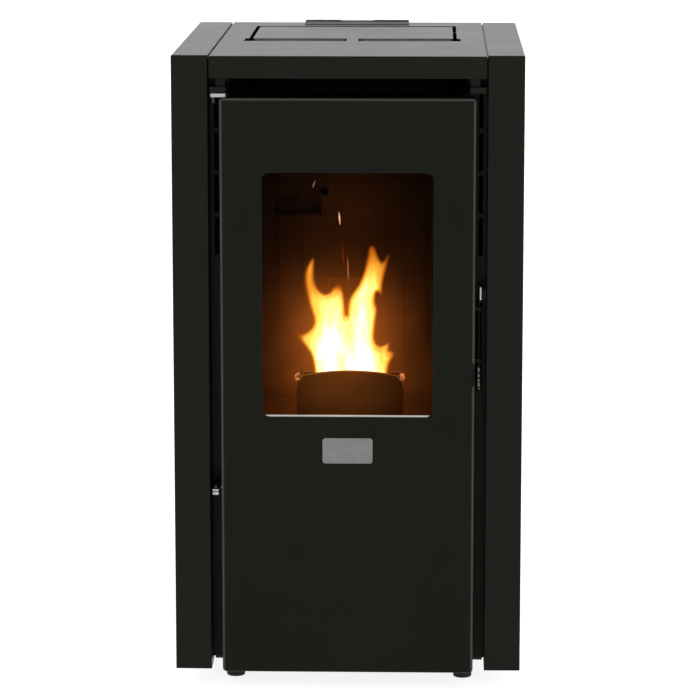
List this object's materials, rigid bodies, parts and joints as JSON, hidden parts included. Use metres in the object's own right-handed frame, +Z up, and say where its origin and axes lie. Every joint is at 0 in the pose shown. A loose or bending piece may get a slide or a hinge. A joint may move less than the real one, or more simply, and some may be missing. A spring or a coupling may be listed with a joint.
{
  "type": "pellet stove",
  "caption": "Slim free-standing pellet stove: tall cabinet with side casings, top hopper lid and control panel, and a full-height glazed fire door hinged at the left.",
  "frame": {"origin": "middle of the footprint of the whole stove, on the floor", "axes": "+Z up, +X to the right of someone facing the door, +Y to the back where the flue leaves"},
  "size_m": [0.46, 0.5856, 0.8538],
  "materials": {
    "coat": "matt black powder coat",
    "rear_coat": "matt black powder coat",
    "zinc": "bright zinc plate",
    "plate_steel": "fine brushed steel, bare",
    "trim": "satin aluminium",
    "glass": "clear ceramic glass",
    "panel_glass": "gloss black",
    "panel_plastic": "satin dark grey",
    "screen": "dark display",
    "button": "dark grey keys",
    "rope": "braided glass fibre",
    "silicone": "silicone",
    "fire_steel": "heat resistant dark paint",
    "fire_cast": "sooty cast iron",
    "liner": "sooty vermiculite",
    "ember": "burning pellets",
    "galvanised": "galvanised sheet",
    "motor": "cast housing",
    "pipe": "enamelled flue pipe",
    "moulding": "black moulding",
    "feet": "black rubber feet on steel studs"
  },
  "bodies": {
    "stove": {"left_side_casing": "coat", "right_side_casing": "coat", "top_cover": "coat", "upper_hinge_brackets": "coat", "front_frame": "coat", "latch_keeper": "coat", "hopper": "coat", "rear_panel": "rear_coat", "chassis": "rear_coat", "lower_hinge_bracket": "zinc", "hinge_pins": "zinc", "lid_hinge_pins": "zinc", "casing_screws": "zinc", "control_glass": "panel_glass", "control_bezel": "panel_plastic", "display_screen": "screen", "firebox": "fire_steel", "baffle_plate": "fire_steel", "hearth_plate": "fire_steel", "igniter": "fire_steel", "fire_back": "fire_cast", "side_liners": "liner", "chute": "galvanised", "auger_tube": "galvanised", "smoke_fan_housing": "galvanised", "smoke_channel": "galvanised", "air_intake_pipe": "galvanised", "room_fan_housing": "galvanised", "hot_air_duct": "galvanised", "auger_gearmotor": "motor", "smoke_motor": "motor", "room_fan_motor": "motor", "flue_pipe": "pipe", "mains_inlet": "moulding", "reset_caps": "moulding", "electronics_box": "moulding", "levelling_feet": "feet"},
    "door": {"door_panel": "coat", "name_plate": "plate_steel", "door_glass": "glass", "glass_gasket": "rope", "glass_trim": "trim", "door_frame": "coat", "rope_seal": "rope", "hinge_lugs": "zinc"},
    "latch": {"latch_rod": "zinc", "latch_grip": "zinc"},
    "lid": {"hopper_lid": "coat", "lid_seal": "silicone"},
    "pot": {"burn_pot": "fire_cast", "ember_bed": "ember"},
    "drawer": {"ash_drawer": "fire_steel"},
    "button_1": {"push_button_1": "button"},
    "button_2": {"push_button_2": "button"},
    "button_3": {"push_button_3": "button"},
    "button_4": {"push_button_4": "button"},
    "rocker": {"power_rocker": "moulding"},
    "auger": {"auger_screw": "galvanised"},
    "smoke_wheel": {"smoke_impeller": "galvanised"},
    "air_rotor": {"room_fan_rotor": "galvanised"}
  },
  "joints": [
    {"name": "door_hinge", "type": "hinge", "parent": "stove", "child": "door", "pos_m": [-0.1745, -0.28225, 0.3975], "axis": [0, 0, -1], "range_deg": [0, 110]},
    {"name": "latch_turn", "type": "hinge", "parent": "door", "child": "latch", "pos_m": [0.1725, -0.26425, 0.4815], "axis": [0, 0, -1], "range_deg": [0, 85]},
    {"name": "lid_hinge", "type": "hinge", "parent": "stove", "child": "lid", "pos_m": [0, 0.18175, 0.839], "axis": [-1, 0, 0], "range_deg": [0, 80]},
    {"name": "pot_lift", "type": "slide", "parent": "stove", "child": "pot", "axis": [0, 0, 1], "range_m": [0, 0.045]},
    {"name": "drawer_slide", "type": "slide", "parent": "stove", "child": "drawer", "axis": [0, -1, 0], "range_m": [0, 0.16]},
    {"name": "button_1_press", "type": "slide", "parent": "stove", "child": "button_1", "axis": [0, 0, -1], "range_m": [0, 0.0008], "stiffness_N_per_m": 400, "springref_m": -0.0008},
    {"name": "button_2_press", "type": "slide", "parent": "stove", "child": "button_2", "axis": [0, 0, -1], "range_m": [0, 0.0008], "stiffness_N_per_m": 400, "springref_m": -0.0008},
    {"name": "button_3_press", "type": "slide", "parent": "stove", "child": "button_3", "axis": [0, 0, -1], "range_m": [0, 0.0008], "stiffness_N_per_m": 400, "springref_m": -0.0008},
    {"name": "button_4_press", "type": "slide", "parent": "stove", "child": "button_4", "axis": [0, 0, -1], "range_m": [0, 0.0008], "stiffness_N_per_m": 400, "springref_m": -0.0008},
    {"name": "switch_rock", "type": "hinge", "parent": "stove", "child": "rocker", "pos_m": [-0.168, 0.25475, 0.136], "axis": [1, 0, 0], "range_deg": [0, 18]},
    {"name": "auger_turn", "type": "hinge", "parent": "stove", "child": "auger", "pos_m": [0, 0.00675, 0.56], "axis": [0, -0.7071, 0.7071], "continuous": true},
    {"name": "smoke_fan_spin", "type": "hinge", "parent": "stove", "child": "smoke_wheel", "pos_m": [-0.07, 0.04475, 0.175], "axis": [0, 1, 0], "continuous": true},
    {"name": "room_fan_spin", "type": "hinge", "parent": "stove", "child": "air_rotor", "pos_m": [0, -0.13325, 0.172], "axis": [1, 0, 0], "continuous": true}
  ],
  "couplings": [
    {"joint": "drawer_slide", "follows": "door_hinge", "m_per_rad": 0.08}
  ]
}
